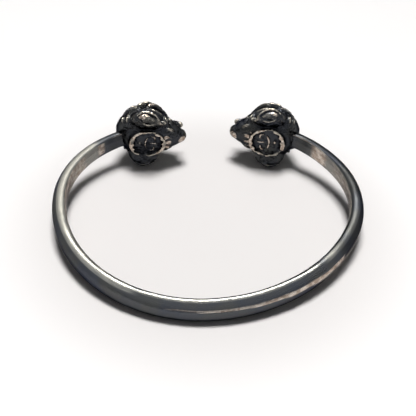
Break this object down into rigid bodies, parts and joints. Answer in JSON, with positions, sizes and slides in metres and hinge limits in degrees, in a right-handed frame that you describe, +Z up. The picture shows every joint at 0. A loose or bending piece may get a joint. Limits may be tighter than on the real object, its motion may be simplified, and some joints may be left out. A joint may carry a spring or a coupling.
{
  "type": "animal head bracelet",
  "caption": "Open cuff bracelet: a D-section band ends in two animal heads that face each other across a gap.",
  "frame": {"origin": "middle of the bounding box, on the surface the bracelet lies on", "axes": "+Z up as it lies, +X along the width from the left head's side to the right head's, +Y from the middle of the band to the gap between the heads"},
  "size_m": [0.0658, 0.0588, 0.0173],
  "materials": {
    "aged_silver": "dark oxidised silver, worn bright on its edges and high places"
  },
  "bodies": {
    "root": {"bracelet": "aged_silver"}
  },
  "joints": []
}
